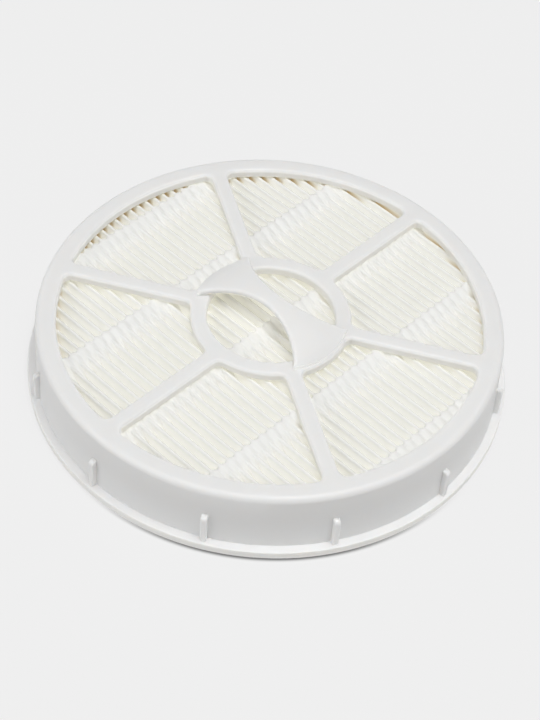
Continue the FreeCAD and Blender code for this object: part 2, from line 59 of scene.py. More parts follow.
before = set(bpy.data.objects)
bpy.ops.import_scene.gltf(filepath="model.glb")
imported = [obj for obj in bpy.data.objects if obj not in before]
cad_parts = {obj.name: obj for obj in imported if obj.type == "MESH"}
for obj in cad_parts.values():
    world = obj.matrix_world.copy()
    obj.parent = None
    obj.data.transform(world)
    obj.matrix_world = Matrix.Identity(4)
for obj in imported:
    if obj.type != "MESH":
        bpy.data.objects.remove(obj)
CAD_LOW, CAD_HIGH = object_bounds()
MILLIMETRE = 0.001
HANDLE_RISE = 6.6 * MILLIMETRE
DARK = (0.0, 0.0, 0.0, 1.0)
WHITE = (1.0, 1.0, 1.0, 1.0)


def measure_pack():
    """Sizes of the medium and its beads, read from the solids."""
    pack_low, pack_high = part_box("pleat_pack")
    beads = sorted(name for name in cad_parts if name.startswith("upper_bead_"))
    bead_boxes = [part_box(name) for name in beads]
    middles = sorted((low.y + high.y) / 2 for low, high in bead_boxes)
    return {
        "radius": pack_high.y,
        "floor": pack_low.z,
        "ridge": pack_high.z,
        "beads": beads,
        "bead_spacing": middles[1] - middles[0],
        "bead_top": max(high.z for low, high in bead_boxes),
    }


PACK = measure_pack()


class Wire:
    """An output socket of a node, on which arithmetic adds Math nodes."""

    def __init__(self, net, socket):
        self.net = net
        self.socket = socket

    def __add__(self, other):
        return self.net.math("ADD", self, other)

    def __radd__(self, other):
        return self.net.math("ADD", other, self)

    def __sub__(self, other):
        return self.net.math("SUBTRACT", self, other)

    def __rsub__(self, other):
        return self.net.math("SUBTRACT", other, self)

    def __mul__(self, other):
        return self.net.math("MULTIPLY", self, other)

    def __rmul__(self, other):
        return self.net.math("MULTIPLY", other, self)

    def __truediv__(self, other):
        return self.net.math("DIVIDE", self, other)

    def __rtruediv__(self, other):
        return self.net.math("DIVIDE", other, self)

    def __pow__(self, other):
        return self.net.math("POWER", self, other)

    def __mod__(self, other):
        return self.net.math("FLOORED_MODULO", self, other)


class Net:
    """Node tree that is filled from Python expressions."""

    def __init__(self, tree):
        self.tree = tree

    def make(self, kind, settings=None, inputs=None):
        """Adds a node, sets its settings, then its inputs by name or index; gives the node."""
        node = self.tree.nodes.new(kind)
        for name, setting in (settings or {}).items():
            setattr(node, name, setting)
        for key, value in (inputs or {}).items():
            if isinstance(value, Wire):
                self.tree.links.new(value.socket, node.inputs[key])
            else:
                node.inputs[key].default_value = value
        return node

    def wire(self, kind, output, settings=None, inputs=None):
        """Adds a node and gives one of its outputs."""
        return Wire(self, self.make(kind, settings, inputs).outputs[output])

    def math(self, operation, *values):
        return self.wire("ShaderNodeMath", 0, {"operation": operation}, dict(enumerate(values)))

    def smooth(self, value, low, high):
        """0 below low and 1 above high, with a soft step between them."""
        return self.wire("ShaderNodeMapRange", 0, {"interpolation_type": "SMOOTHSTEP"},
                         {"Value": value, "From Min": low, "From Max": high})

    def mix(self, factor, first, second):
        """Blend of two colours."""
        return self.wire("ShaderNodeMix", 2, {"data_type": "RGBA"}, {0: factor, 6: first, 7: second})

    def mix_shaders(self, factor, first, second):
        """Blend of two shaders."""
        return self.wire("ShaderNodeMixShader", 0, None, {0: factor, 1: first, 2: second})

    def split(self, vector):
        """The three coordinates of a vector."""
        node = self.make("ShaderNodeSeparateXYZ", None, {0: vector})
        return [Wire(self, socket) for socket in node.outputs]

    def vector(self, x=0.0, y=0.0, z=0.0):
        """A vector from its coordinates."""
        return self.wire("ShaderNodeCombineXYZ", 0, None, {"X": x, "Y": y, "Z": z})

    def from_axis(self, x, y):
        """Distance from the filter's axis."""
        return self.math("SQRT", x * x + y * y)

    def noise(self, place, scale, detail=2.0):
        """Value between 0 and 1 that wanders over the surface."""
        return self.wire("ShaderNodeTexNoise", 0, None, {"Vector": place, "Scale": scale, "Detail": detail})

    def bump(self, height, strength, distance):
        """Normal of a finely embossed surface."""
        return self.wire("ShaderNodeBump", 0, None,
                         {"Height": height, "Strength": strength, "Distance": distance})

    def valley(self, x, pitch):
        """0 on a ridge of the medium and 1 half way to the next ridge."""
        return 2 * self.math("ABSOLUTE", (x / pitch) % 1.0 - 0.5)


def opaque(colour, share=1.0):
    """Colour with full alpha, at a share of its brightness."""
    return (*(share * c for c in colour), 1.0)


def clear_net(owner):
    """Gives a material or a world an empty net."""
    owner.use_nodes = True
    owner.node_tree.nodes.clear()
    return Net(owner.node_tree)


def new_material(name):
    """Empty node material; gives it with its net and the place on the piece."""
    material = bpy.data.materials.new(name)
    net = clear_net(material)
    return material, net, net.wire("ShaderNodeTexCoord", "Object")


def end_material(net, sockets):
    """Ends a material in a Principled shader with the given sockets."""
    surface = net.wire("ShaderNodeBsdfPrincipled", "BSDF", None, sockets)
    net.make("ShaderNodeOutputMaterial", None, {"Surface": surface})


def near_light(net, place, settings):
    """Painted light: emission that stands in for the light reaching the moulding from close by, from the
    medium, the hub, the ledge and the floor.
    """
    x, y, height = net.split(place)
    radius = net.from_axis(x, y)
    upward = net.split(net.wire("ShaderNodeNewGeometry", "Normal"))[2]
    top = CAD_HIGH.z - settings.handle_rise
    inside = 1 - net.smooth(radius, PACK["radius"], PACK["radius"] + 1 * MILLIMETRE)
    below = 1 - net.smooth(height, top - 1.5 * MILLIMETRE, top - 0.2 * MILLIMETRE)

    # Painted light at the foot of the wall, and on the sides of the windows
    wall_reach = 0.7 * top
    low_wall = (1 - inside) * (1 - net.smooth(height, settings.flange, wall_reach))
    light = net.mix(low_wall, DARK, opaque(settings.wall_light))
    light = net.mix(below * inside, light, opaque(settings.side_light))

    # Painted light on the undersides: full at the handle's crown, less under the grille and least at the
    # handle's ends
    grille_share = 0.6
    end_share = 0.4
    crown = net.smooth(height, top + 1 * MILLIMETRE, top + 0.6 * settings.handle_rise)
    grille = 1 - net.smooth(height, top - 2 * MILLIMETRE, top - 1 * MILLIMETRE)
    lit = net.math("MAXIMUM", crown, grille_share * grille)
    under_tone = net.mix(lit, opaque(settings.under_light, end_share), opaque(settings.under_light))
    under = 1 - net.smooth(upward, -0.6, -0.2)
    light = net.mix(under * inside, light, under_tone)

    # Painted light on the upright ends of the handle
    steep = 1 - net.smooth(net.math("ABSOLUTE", upward), 0.2, 0.7)
    hub_edge = net.smooth(radius, settings.hub - 2.5 * MILLIMETRE, settings.hub - 1.5 * MILLIMETRE)
    end = steep * (1 - below) * hub_edge
    light = net.mix(end * inside, light, opaque(settings.end_light))

    # Painted light on the flange: its ledge, fainter towards the rim, and its edge
    rim_share = 0.3
    outward = net.smooth(radius, CAD_HIGH.x - 3 * MILLIMETRE, CAD_HIGH.x)
    ledge_tone = net.mix(outward, opaque(settings.ledge_light), opaque(settings.ledge_light, rim_share))
    ledge = net.smooth(height, settings.flange - 0.15 * MILLIMETRE, settings.flange)
    edge_tone = net.mix(ledge, opaque(settings.edge_light), ledge_tone)
    foot = 1 - net.smooth(height, settings.flange, settings.flange + 0.6 * MILLIMETRE)
    return net.mix(foot, light, edge_tone)


def make_plastic(settings):
    """Satin white moulding: clouded colour, fine mould grain, and painted light, as emission, that stands in
    for light reaching its sides.
    """
    material, net, place = new_material("white_plastic")
    clouding = net.noise(place, scale=45.0)
    grain = net.noise(place, scale=2600.0, detail=1.0)
    end_material(net, {
        "Base Color": net.mix(clouding, opaque(settings.colour, settings.clouding), opaque(settings.colour)),
        "Roughness": settings.roughness + 0.08 * (grain - 0.5) + 0.06 * (clouding - 0.5),
        "Normal": net.bump(grain, strength=0.04, distance=0.1 * MILLIMETRE),
        "Emission Color": near_light(net, place, settings),
        "Emission Strength": 1.0,
        "Specular IOR Level": 0.35,
        "Subsurface Weight": settings.glow,
        "Subsurface Radius": (1.0, 0.95, 0.9),
        "Subsurface Scale": 2.0 * MILLIMETRE,
    })
    return material


def make_medium(settings, blunt_end):
    """Cream nonwoven sheet: fibres, painted shade on the ridges, deep between the pleats and under the outer
    ring, and painted light, as emission, between its pleats.
    """
    material, net, place = new_material("filter_medium")
    x, y, height = net.split(place)
    radius = net.from_axis(x, y)
    depth = net.math("MINIMUM", PACK["ridge"] - height, height - PACK["floor"])
    fibres = net.noise(place, scale=1500.0, detail=3.0)
    blotches = net.noise(place, scale=110.0)
    rim = net.smooth(radius, PACK["radius"] - settings.rim_shade, PACK["radius"])
    # Masks for painted shade in the sheet's colour: a brown tone under the outer ring, a darker tone deep
    # between the pleats, and a darker tone on the ridges, which catch the most light
    tips = rim * net.smooth(depth, 0.5 * MILLIMETRE, 2.5 * MILLIMETRE)
    deep = net.smooth(depth, settings.light_depth, 2 * settings.light_depth)
    ridge = 1 - net.smooth(depth, 0.0, settings.ridge_fade)

    sheet = net.mix(blotches, opaque(settings.shade), opaque(settings.colour))
    sheet = net.mix(deep, sheet, opaque(settings.deep))
    sheet = net.mix(tips, sheet, opaque(settings.tip))
    sheet = net.mix(ridge, sheet, opaque(settings.ridge))

    # Painted light, emitted by the sheet: through the sheet, then beside the glue, under the outer ring and
    # deep between the pleats
    shallow = 1 - net.smooth(depth, settings.light_reach, settings.light_depth)
    passed = net.smooth(depth, 0.0, settings.light_onset) * shallow * (1 - rim)
    beyond = (y - blunt_end) % PACK["bead_spacing"]
    close = 1 - net.smooth(beyond, 0.3 * MILLIMETRE, settings.bead_reach)
    beside = close * net.smooth(depth, 0.3 * MILLIMETRE, 1.5 * MILLIMETRE) * (1 - deep)
    glow = net.mix(passed, DARK, opaque(settings.passed_light))
    glow = net.mix(beside, glow, opaque(settings.bead_light))
    glow = net.mix(tips, glow, opaque(settings.tip_light))
    glow = net.mix(deep, glow, opaque(settings.deep_light))

    end_material(net, {
        "Base Color": sheet,
        "Roughness": 0.78 + 0.15 * fibres,
        "Normal": net.bump(fibres, strength=0.12, distance=0.1 * MILLIMETRE),
        "Emission Color": glow,
        "Emission Strength": 1.0,
        "Specular IOR Level": 0.2,
    })
    return material


def make_glue(settings, pitch):
    """Milky hot-melt glue that takes on the tone of the medium where it runs down between the ridges, with
    painted shade in the dip between two tiles and painted light, as emission, through the glue.
    """
    material, net, place = new_material("glue")
    x, _, height = net.split(place)
    depth = PACK["ridge"] - height
    upper = 1 - net.smooth(depth, 2 * settings.sink, 3 * settings.sink)
    sunk = upper * net.smooth(depth, 0.0, settings.blend)
    # Painted light: the emitted colour changes from the glow to the sunk light deeper between the ridges
    deep = upper * net.smooth(depth, settings.blend, 3 * settings.blend)
    # Painted shade: a darker colour in the dip between two tiles
    seam = net.smooth(net.valley(x, pitch), 0.7, 1.0)
    cloud = net.noise(place, scale=420.0)
    tone = net.mix(cloud, opaque(settings.colour, 0.97), opaque(settings.colour))
    tone = net.mix(sunk, tone, opaque(settings.sunk_colour))
    end_material(net, {
        "Base Color": net.mix(seam, tone, opaque(settings.seam)),
        "Roughness": 0.5 + 0.12 * cloud,
        "Emission Color": net.mix(deep, opaque(settings.glow), opaque(settings.sunk_light)),
        "Emission Strength": 1.0,
        "Subsurface Weight": 0.5,
        "Subsurface Radius": (1.0, 1.0, 0.95),
        "Subsurface Scale": 1.0 * MILLIMETRE,
    })
    return material


def make_potting(colour):
    """Cast sealant, slightly yellow, with flow marks."""
    material, net, place = new_material("potting")
    flow = net.noise(place, scale=160.0, detail=4.0)
    end_material(net, {
        "Base Color": net.mix(flow, opaque(colour, 0.92), opaque(colour)),
        "Roughness": 0.35 + 0.2 * flow,
        "Normal": net.bump(flow, strength=0.15, distance=0.4 * MILLIMETRE),
    })
    return material


def paint(node, material):
    """Puts a material on a solid that is shown as it is."""
    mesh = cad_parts[node].data
    mesh.materials.clear()
    mesh.materials.append(material)


def new_piece(name, mesh, slot, *replaced):
    """Adds a finished mesh as a piece of the object that stands for some solids."""
    piece = bpy.data.objects.new(name, mesh)
    bpy.context.scene.collection.objects.link(piece)
    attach(piece, "root")
    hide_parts(*replaced)


def new_tree(name, counts, measures):
    """Geometry tree with named inputs for counts, measures and a material; gives its net and input wires."""
    tree = bpy.data.node_groups.new(name, "GeometryNodeTree")
    kinds = {"NodeSocketInt": counts, "NodeSocketFloat": measures, "NodeSocketMaterial": ["Material"]}
    for kind, labels in kinds.items():
        for label in labels:
            tree.interface.new_socket(label, in_out="INPUT", socket_type=kind)
    tree.interface.new_socket("Mesh", in_out="OUTPUT", socket_type="NodeSocketGeometry")
    net = Net(tree)
    group = net.make("NodeGroupInput")
    return net, {label: Wire(net, group.outputs[label]) for label in (*counts, *measures, "Material")}


def end_tree(net, geometry, material):
    """Realizes the instances, sets the material and ends the tree."""
    real = net.wire("GeometryNodeRealizeInstances", 0, None, {"Geometry": geometry})
    done = net.wire("GeometryNodeSetMaterial", 0, None, {"Geometry": real, "Material": material})
    net.make("NodeGroupOutput", None, {"Mesh": done})


def run_tree(net, values, thickness, offset):
    """Evaluates a geometry tree with the given inputs and gives a plain mesh with a thickness.

    The thickness lies about the sheet's middle at offset 0, and below its surface at offset -1.
    """
    holder = bpy.data.objects.new(net.tree.name, bpy.data.meshes.new(net.tree.name))
    bpy.context.scene.collection.objects.link(holder)
    modifier = holder.modifiers.new("Build", "NODES")
    modifier.node_group = net.tree
    items = net.tree.interface.items_tree
    sockets = {item.name: item.identifier for item in items if item.in_out == "INPUT"}
    for label, value in values.items():
        modifier[sockets[label]] = value
    wall = holder.modifiers.new("Thickness", "SOLIDIFY")
    wall.thickness = thickness
    wall.offset = offset
    graph = bpy.context.evaluated_depsgraph_get()
    mesh = bpy.data.meshes.new_from_object(holder.evaluated_get(graph))
    bpy.data.objects.remove(holder)
    return mesh


def flank_lean(pitch, rise, radius):
    """Angle from upright of a flank that joins an upper and a lower fold of the same radius."""
    across = pitch / 2
    up = rise - 2 * radius
    return math.acos(2 * radius / math.hypot(across, up)) - math.atan2(up, across)


def medium_tree():
    """Folded sheet: a line of points bent round the folds, swept along the pleats and cut round."""
    net, size = new_tree("folded_medium", ["Folds", "Fold Points", "Rows"], [
        "Pitch", "Fold Radius", "Flank Lean", "Lowest", "Highest", "Outline Radius", "Bead Spacing", "Waver"])

    # Section across the pleats
    index = net.wire("GeometryNodeInputIndex", 0)
    fold = net.math("FLOOR", index / size["Fold Points"])
    step = (index % size["Fold Points"]) / (size["Fold Points"] - 1)
    upper = fold % 2.0
    side = 2 * upper - 1
    sweep = size["Flank Lean"] + step * (math.pi - 2 * size["Flank Lean"])
    rise = size["Highest"] - size["Lowest"] - 2 * size["Fold Radius"]
    centre_x = (fold - (size["Folds"] - 1) / 2) * size["Pitch"] / 2
    centre_z = size["Lowest"] + size["Fold Radius"] + upper * rise
    bent_x = centre_x - size["Fold Radius"] * net.math("COSINE", sweep)
    bent_z = centre_z + side * size["Fold Radius"] * net.math("SINE", sweep)
    limit = size["Outline Radius"] - 0.2 * MILLIMETRE
    kept_x = net.math("MAXIMUM", net.math("MINIMUM", bent_x, limit), -1 * limit)
    bent = net.vector(x=kept_x, z=bent_z)
    count = size["Folds"] * size["Fold Points"]
    line = net.wire("GeometryNodeMeshLine", 0, {"mode": "OFFSET"}, {"Count": count})
    section = net.wire("GeometryNodeSetPosition", 0, None, {"Geometry": line, "Position": bent})

    # Sheet of unit half length, swept from the section
    path = net.wire("GeometryNodeMeshToCurve", 0, None, {"Mesh": section})
    across = net.wire("GeometryNodeCurvePrimitiveLine", 0, None, {"Start": (0, -1, 0), "End": (0, 1, 0)})
    rows = net.wire("GeometryNodeResampleCurve", 0, None, {"Curve": across, "Count": size["Rows"]})
    sheet = net.wire("GeometryNodeCurveToMesh", 0, None, {"Curve": path, "Profile Curve": rows})

    # Each pleat runs to the round outline, and wanders between the beads that hold it
    x, along, z = net.split(net.wire("GeometryNodeInputPosition", 0))
    y = along * net.math("SQRT", size["Outline Radius"] ** 2.0 - x * x)
    held = net.math("ABSOLUTE", net.math("SINE", math.pi * y / size["Bead Spacing"]))
    share = (z - size["Lowest"]) / (size["Highest"] - size["Lowest"])
    across_scale = 400.0
    along_scale = 60.0
    ripple = net.vector(across_scale * x, along_scale * y)
    wander = net.noise(ripple, scale=1.0, detail=1.0) - 0.5
    sway = size["Waver"] * held * share * wander
    laid = net.vector(x + sway, y, z)
    cut = net.wire("GeometryNodeSetPosition", 0, None, {"Geometry": sheet, "Position": laid})
    smooth = net.wire("GeometryNodeSetShadeSmooth", 0, None, {"Geometry": cut})
    end_tree(net, smooth, size["Material"])
    return net


def bead_tree():
    """Rows of glue: a tile on each ridge, blunt at the far end, run out between ridges at the near end."""
    net, size = new_tree("glue_rows", ["Ridges", "Beads", "Steps"], [
        "Pitch", "Bead Spacing", "Outline Radius", "Top", "Blunt End", "Drawn End", "Shoulder", "Height",
        "Scallop", "Sink", "Web", "Wander"])

    # One strip: its first part, the cap, turns down at the blunt end, and the rest runs out
    cap = 0.25
    notch = 0.35
    grid = net.wire("GeometryNodeMeshGrid", 0, None, {
        "Size X": size["Ridges"] * size["Pitch"],
        "Size Y": 1.0,
        "Vertices X": size["Ridges"] * size["Steps"] + 1,
        "Vertices Y": 2 * size["Steps"],
    })
    x, y = net.split(net.wire("GeometryNodeInputPosition", 0))[:2]
    valley = net.valley(x, size["Pitch"])
    share = 0.5 - y
    turn = net.math("MINIMUM", share / cap, 1.0) * math.pi / 2
    run = net.math("MAXIMUM", (share - cap) / (1 - cap), 0.0)
    end = size["Blunt End"] * (1 - notch * valley * valley)
    back = size["Shoulder"] * (1 - net.math("COSINE", turn))
    laid_y = end - back - run * (end - size["Shoulder"] + size["Drawn End"])
    drop = size["Height"] * (1 - net.math("SINE", turn)) + size["Scallop"] * valley * valley
    laid_z = size["Top"] - drop - size["Sink"] * run * run - size["Web"] * run * valley * valley
    laid = net.vector(x, laid_y, laid_z)
    strip = net.wire("GeometryNodeSetPosition", 0, None, {"Geometry": grid, "Position": laid})
    soft = net.wire("GeometryNodeSetShadeSmooth", 0, None, {"Geometry": strip})

    # A strip for each bead
    first = net.vector(y=(1 - size["Beads"]) / 2 * size["Bead Spacing"])
    step = net.vector(y=size["Bead Spacing"])
    rows = net.wire("GeometryNodeMeshLine", 0, {"mode": "OFFSET"},
                    {"Count": size["Beads"], "Start Location": first, "Offset": step})
    placed = net.wire("GeometryNodeInstanceOnPoints", 0, None, {"Points": rows, "Instance": soft})
    real = net.wire("GeometryNodeRealizeInstances", 0, None, {"Geometry": placed})

    # Each tile is shifted by its own chance, and the strips end at the round outline
    spot_x, spot_y = net.split(net.wire("GeometryNodeInputPosition", 0))[:2]
    column = net.math("FLOOR", spot_x / size["Pitch"])
    row = net.math("ROUND", spot_y / size["Bead Spacing"])
    chance = net.wire("ShaderNodeTexWhiteNoise", 0, {"noise_dimensions": "3D"},
                      {"Vector": net.vector(column, row)}) - 0.5
    shift = net.vector(y=size["Wander"] * chance)
    shifted = net.wire("GeometryNodeSetPosition", 0, None, {"Geometry": real, "Offset": shift})
    reach = size["Outline Radius"] - size["Blunt End"]
    outside = net.math("GREATER_THAN", net.from_axis(spot_x, spot_y), reach)
    kept = net.wire("GeometryNodeDeleteGeometry", 0, {"domain": "POINT"},
                    {"Geometry": shifted, "Selection": outside})
    end_tree(net, kept, size["Material"])
    return net


def smooth_copy(name, node, angle):
    """Welded copy of a solid's mesh, smooth except across edges sharper than the angle."""
    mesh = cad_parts[node].data.copy()
    mesh.name = name
    weld = 0.002 * MILLIMETRE
    work = bmesh.new()
    work.from_mesh(mesh)
    bmesh.ops.remove_doubles(work, verts=work.verts, dist=weld)
    bmesh.ops.dissolve_degenerate(work, edges=work.edges, dist=weld)
    for face in work.faces:
        face.smooth = True
    for edge in work.edges:
        edge.smooth = edge.calc_face_angle(math.pi) < angle
    work.to_mesh(mesh)
    work.free()
    mesh.materials.clear()
    return mesh


def direction(bearing, elevation):
    """Unit vector at a bearing from +X and an elevation above the horizon."""
    level = math.cos(elevation)
    return Vector((level * math.cos(bearing), level * math.sin(bearing), math.sin(elevation)))


def seen_share(net):
    """1 for rays that show the background, straight or in gloss and glass, else 0."""
    path = net.make("ShaderNodeLightPath")
    straight, gloss, glass = (
        Wire(net, path.outputs[f"Is {kind} Ray"]) for kind in ("Camera", "Glossy", "Transmission"))
    return net.math("MAXIMUM", net.math("MAXIMUM", straight, gloss), glass)


def make_floor(settings):
    """Pale finish, seen from above only: even where it lies free, with a painted shadow where the filter
    stands on it.
    """
    material, net, place = new_material("floor")
    rim = CAD_HIGH.x
    distance = net.wire("ShaderNodeVectorMath", "Value", {"operation": "LENGTH"}, {0: place})
    # Painted shadow: darker floor tone close to the rim, deepest on the shade side
    away = direction(settings.shade_side, 0.0)
    ahead = net.wire("ShaderNodeVectorMath", "Value", {"operation": "DOT_PRODUCT"}, {0: place, 1: away})
    least = 0.1
    front = least + (1 - least) * net.smooth(ahead / distance, 0.6, 1.0)
    contact_shadow = front * (1 - net.smooth(distance, rim + 0.3 * MILLIMETRE, rim + 1.8 * MILLIMETRE))
    tone = net.mix(contact_shadow, opaque(settings.backdrop), opaque(settings.backdrop, settings.contact_shadow))
    lit = net.wire("ShaderNodeBsdfDiffuse", 0, None, {"Color": tone})
    even = net.wire("ShaderNodeEmission", 0, None, {"Color": opaque(settings.backdrop)})
    free = settings.even_floor * (1 - front * (1 - net.smooth(distance, rim, rim + 2 * MILLIMETRE)))
    shown = net.mix_shaders(free, lit, even)
    bright = net.wire("ShaderNodeEmission", 0, None, {"Color": WHITE, "Strength": settings.floor_light})
    above = net.mix_shaders(seen_share(net), bright, shown)
    below = net.wire("ShaderNodeBsdfTransparent", 0)
    surface = net.mix_shaders(net.wire("ShaderNodeNewGeometry", "Backfacing"), above, below)
    net.make("ShaderNodeOutputMaterial", None, {"Surface": surface})
    return material


def add_floor(settings):
    """Flat floor just below the filter."""
    half = settings.floor_size / 2
    low = CAD_LOW.z - 0.02 * MILLIMETRE
    mesh = bpy.data.meshes.new("floor")
    corners = [(-half, -half, low), (half, -half, low), (half, half, low), (-half, half, low)]
    mesh.from_pydata(corners, [], [(0, 1, 2, 3)])
    mesh.materials.append(make_floor(settings))
    floor = bpy.data.objects.new("floor", mesh)
    bpy.context.scene.collection.objects.link(floor)


def light_sky(scene, settings):
    """Even pale surroundings, seen at the backdrop's colour."""
    world = bpy.data.worlds.new("sky")
    net = clear_net(world)
    light = net.wire("ShaderNodeBackground", 0, None, {"Color": WHITE, "Strength": settings.sky})
    seen = net.wire("ShaderNodeBackground", 0, None, {"Color": opaque(settings.backdrop), "Strength": 1.0})
    net.make("ShaderNodeOutputWorld", None, {"Surface": net.mix_shaders(seen_share(net), light, seen)})
    scene.world = world


def add_lamp(name, place, size, power):
    """Square lamp that faces the filter."""
    data = bpy.data.lights.new(name, "AREA")
    data.energy = power
    data.size = size
    lamp = bpy.data.objects.new(name, data)
    lamp.location = place
    lamp.rotation_euler = place.to_track_quat("Z", "Y").to_euler()
    bpy.context.scene.collection.objects.link(lamp)


def add_camera(settings):
    """Camera at a bearing and elevation round the point that it aims at."""
    data = bpy.data.cameras.new("camera")
    data.lens = settings.camera_lens
    data.sensor_width = 36
    data.clip_start = 0.01
    camera = bpy.data.objects.new("camera", data)
    back = direction(settings.camera_bearing, settings.camera_elevation)
    turn = (-back).to_track_quat("-Z", "Y").to_matrix() @ Matrix.Rotation(settings.camera_roll, 3, "Z")
    place = Vector(settings.camera_aim) + back * settings.camera_distance
    camera.matrix_world = Matrix.Translation(place) @ turn.to_4x4()
    bpy.context.scene.collection.objects.link(camera)
    return camera


class FilterFrameSettings(bpy.types.PropertyGroup):
    """Finish of the moulded frame."""

    colour: FloatVectorProperty(
        name="Plastic", description="Colour of the moulding",
        default=(0.79, 0.79, 0.785), subtype="COLOR", min=0, max=1)
    clouding: FloatProperty(
        name="Clouding", description="Darkest tone as a share of the colour",
        default=0.985, min=0.8, max=1)
    roughness: FloatProperty(
        name="Roughness", description="Roughness of the satin surface",
        default=0.42, min=0, max=1)
    glow: FloatProperty(
        name="Translucency", description="Share of light that enters the plastic",
        default=1.0, min=0, max=1)
    handle_rise: FloatProperty(
        name="Handle Rise", description="Crown of the handle above the top face",
        default=HANDLE_RISE, unit="LENGTH", precision=5)
    hub: FloatProperty(
        name="Hub", description="Outer radius of the hub",
        default=25.3 * MILLIMETRE, unit="LENGTH", precision=5)
    flange: FloatProperty(
        name="Flange", description="Thickness of the flange",
        default=2.5 * MILLIMETRE, unit="LENGTH", precision=5)
    # Painted light: the six colours below are emitted by the moulding
    side_light: FloatVectorProperty(
        name="Side Light", description="Light from the medium on the sides of the windows",
        default=(0.04, 0.036, 0.022), subtype="COLOR", min=0, max=1)
    under_light: FloatVectorProperty(
        name="Under Light", description="Light from the medium on the underside of the handle and the grille",
        default=(0.58, 0.55, 0.43), subtype="COLOR", min=0, max=1)
    end_light: FloatVectorProperty(
        name="End Light", description="Light from the hub on the ends of the handle",
        default=(0.2, 0.2, 0.195), subtype="COLOR", min=0, max=1)
    ledge_light: FloatVectorProperty(
        name="Ledge Light", description="Light from the floor in the top of the flange",
        default=(0.085, 0.086, 0.09), subtype="COLOR", min=0, max=1)
    edge_light: FloatVectorProperty(
        name="Edge Light", description="Light from the floor in the edge of the flange",
        default=(0.055, 0.05, 0.035), subtype="COLOR", min=0, max=1)
    wall_light: FloatVectorProperty(
        name="Wall Light", description="Light from the ledge and the floor at the foot of the wall",
        default=(0.045, 0.045, 0.045), subtype="COLOR", min=0, max=1)
    crease: FloatProperty(
        name="Crease", description="Edges sharper than this stay crisp",
        default=math.radians(38), subtype="ANGLE")


class FilterMediumSettings(bpy.types.PropertyGroup):
    """Sizes and colours of the folded medium."""

    pleats: IntProperty(
        name="Pleats", description="Number of ridges",
        default=42, min=2)
    fold_points: IntProperty(
        name="Fold Points", description="Points round one fold",
        default=7, min=3)
    rows: IntProperty(
        name="Rows", description="Points along one pleat",
        default=56, min=4)
    pitch: FloatProperty(
        name="Pitch", description="Ridge to ridge",
        default=3.33 * MILLIMETRE, unit="LENGTH", precision=5)
    thickness: FloatProperty(
        name="Thickness", description="Thickness of the sheet",
        default=0.45 * MILLIMETRE, unit="LENGTH", precision=5)
    fold_radius: FloatProperty(
        name="Fold Radius", description="Outside of a fold",
        default=0.6 * MILLIMETRE, unit="LENGTH", precision=5)
    waver: FloatProperty(
        name="Waver", description="Sideways wander of the ridges",
        default=0.3 * MILLIMETRE, unit="LENGTH", precision=5)
    colour: FloatVectorProperty(
        name="Sheet", description="Colour of the sheet",
        default=(0.955, 0.955, 0.94), subtype="COLOR", min=0, max=1)
    shade: FloatVectorProperty(
        name="Shade", description="Deeper tone of the sheet",
        default=(0.945, 0.942, 0.92), subtype="COLOR", min=0, max=1)
    # Painted shade: the ridges catch the most light, so they are given a darker colour than the flanks
    ridge: FloatVectorProperty(
        name="Ridge", description="Colour of the pressed ridges",
        default=(0.83, 0.83, 0.81), subtype="COLOR", min=0, max=1)
    ridge_fade: FloatProperty(
        name="Ridge Fade", description="Depth over which the ridge tone fades",
        default=0.7 * MILLIMETRE, unit="LENGTH", precision=5)
    # Painted light: emitted by the sheet between the pleats
    passed_light: FloatVectorProperty(
        name="Passed Light", description="Light that comes through the sheet between the pleats",
        default=(0.13, 0.126, 0.106), subtype="COLOR", min=0, max=1)
    # Painted shade: darker, warmer tone deep between the pleats
    deep: FloatVectorProperty(
        name="Deep Tone", description="Tone of the sheet deep between the pleats",
        default=(0.90, 0.87, 0.79), subtype="COLOR", min=0, max=1)
    # Painted light: emitted by the sheet deep between the pleats
    deep_light: FloatVectorProperty(
        name="Deep Light", description="Light that comes through the sheet deep between the pleats",
        default=(0.08, 0.075, 0.062), subtype="COLOR", min=0, max=1)
    # Painted shade: brown tone on the pleats' flanks under the outer ring
    tip: FloatVectorProperty(
        name="Tip Tone", description="Tone of the pleats' flanks under the outer ring",
        default=(0.5, 0.36, 0.18), subtype="COLOR", min=0, max=1)
    light_onset: FloatProperty(
        name="Light Onset", description="Depth below the ridges where the passed light is strongest",
        default=2.8 * MILLIMETRE, unit="LENGTH", precision=5)
    light_reach: FloatProperty(
        name="Light Reach", description="Depth below the ridges where the passed light starts to fade",
        default=4.0 * MILLIMETRE, unit="LENGTH", precision=5)
    light_depth: FloatProperty(
        name="Light Depth", description="Depth below the ridges where the passed light ends",
        default=6.0 * MILLIMETRE, unit="LENGTH", precision=5)
    # Painted light: emitted by the sheet under the outer ring and beside the glue
    tip_light: FloatVectorProperty(
        name="Tip Light", description="Light between the pleats under the outer ring",
        default=(0.17, 0.135, 0.075), subtype="COLOR", min=0, max=1)
    bead_light: FloatVectorProperty(
        name="Bead Light", description="Light that the milky glue throws between the pleats beside it",
        default=(0.21, 0.206, 0.18), subtype="COLOR", min=0, max=1)
    bead_reach: FloatProperty(
        name="Bead Reach", description="Reach of the light from the glue along the pleats",
        default=2.5 * MILLIMETRE, unit="LENGTH", precision=5)
    rim_shade: FloatProperty(
        name="Rim Shade", description="Width under the outer ring where no light passes",
        default=3.5 * MILLIMETRE, unit="LENGTH", precision=5)


